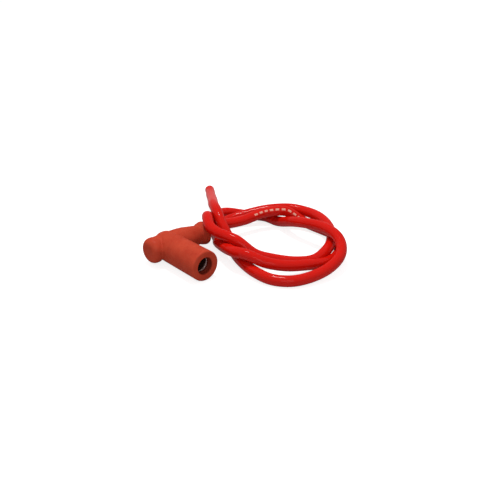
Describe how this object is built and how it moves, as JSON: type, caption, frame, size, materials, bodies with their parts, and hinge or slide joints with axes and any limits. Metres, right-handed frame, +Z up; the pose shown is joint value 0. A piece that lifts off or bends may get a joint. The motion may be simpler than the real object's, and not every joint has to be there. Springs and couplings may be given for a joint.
{
  "type": "spark plug cap",
  "caption": "Moulded silicone T-shaped spark plug cap with resistor contact chain inside and a coiled silicone ignition lead with a bare cut end.",
  "frame": {"origin": "on the ground under the middle of the moulded cap, the lead not counted", "axes": "+X along the arm towards the collar and lead, -Y out of the plug mouth, +Z up"},
  "size_m": [0.1211, 0.1601, 0.0236],
  "materials": {
    "silicone": "satin",
    "phenolic": "satin",
    "brass": "satin",
    "spring_steel": "satin",
    "ceramic": "matt",
    "lead_silicone": "gloss",
    "copper": "bright"
  },
  "bodies": {
    "root": {"cap_body": "silicone", "plug_sleeve": "phenolic", "terminal_socket": "brass", "snap_ring": "spring_steel", "contact_spring": "spring_steel", "elbow_contact": "brass", "resistor_rod": "ceramic", "resistor_cap_inner": "brass", "resistor_cap_outer": "brass", "lead_screw": "brass", "lead_jacket": "lead_silicone", "lead_core": "copper"}
  },
  "joints": []
}
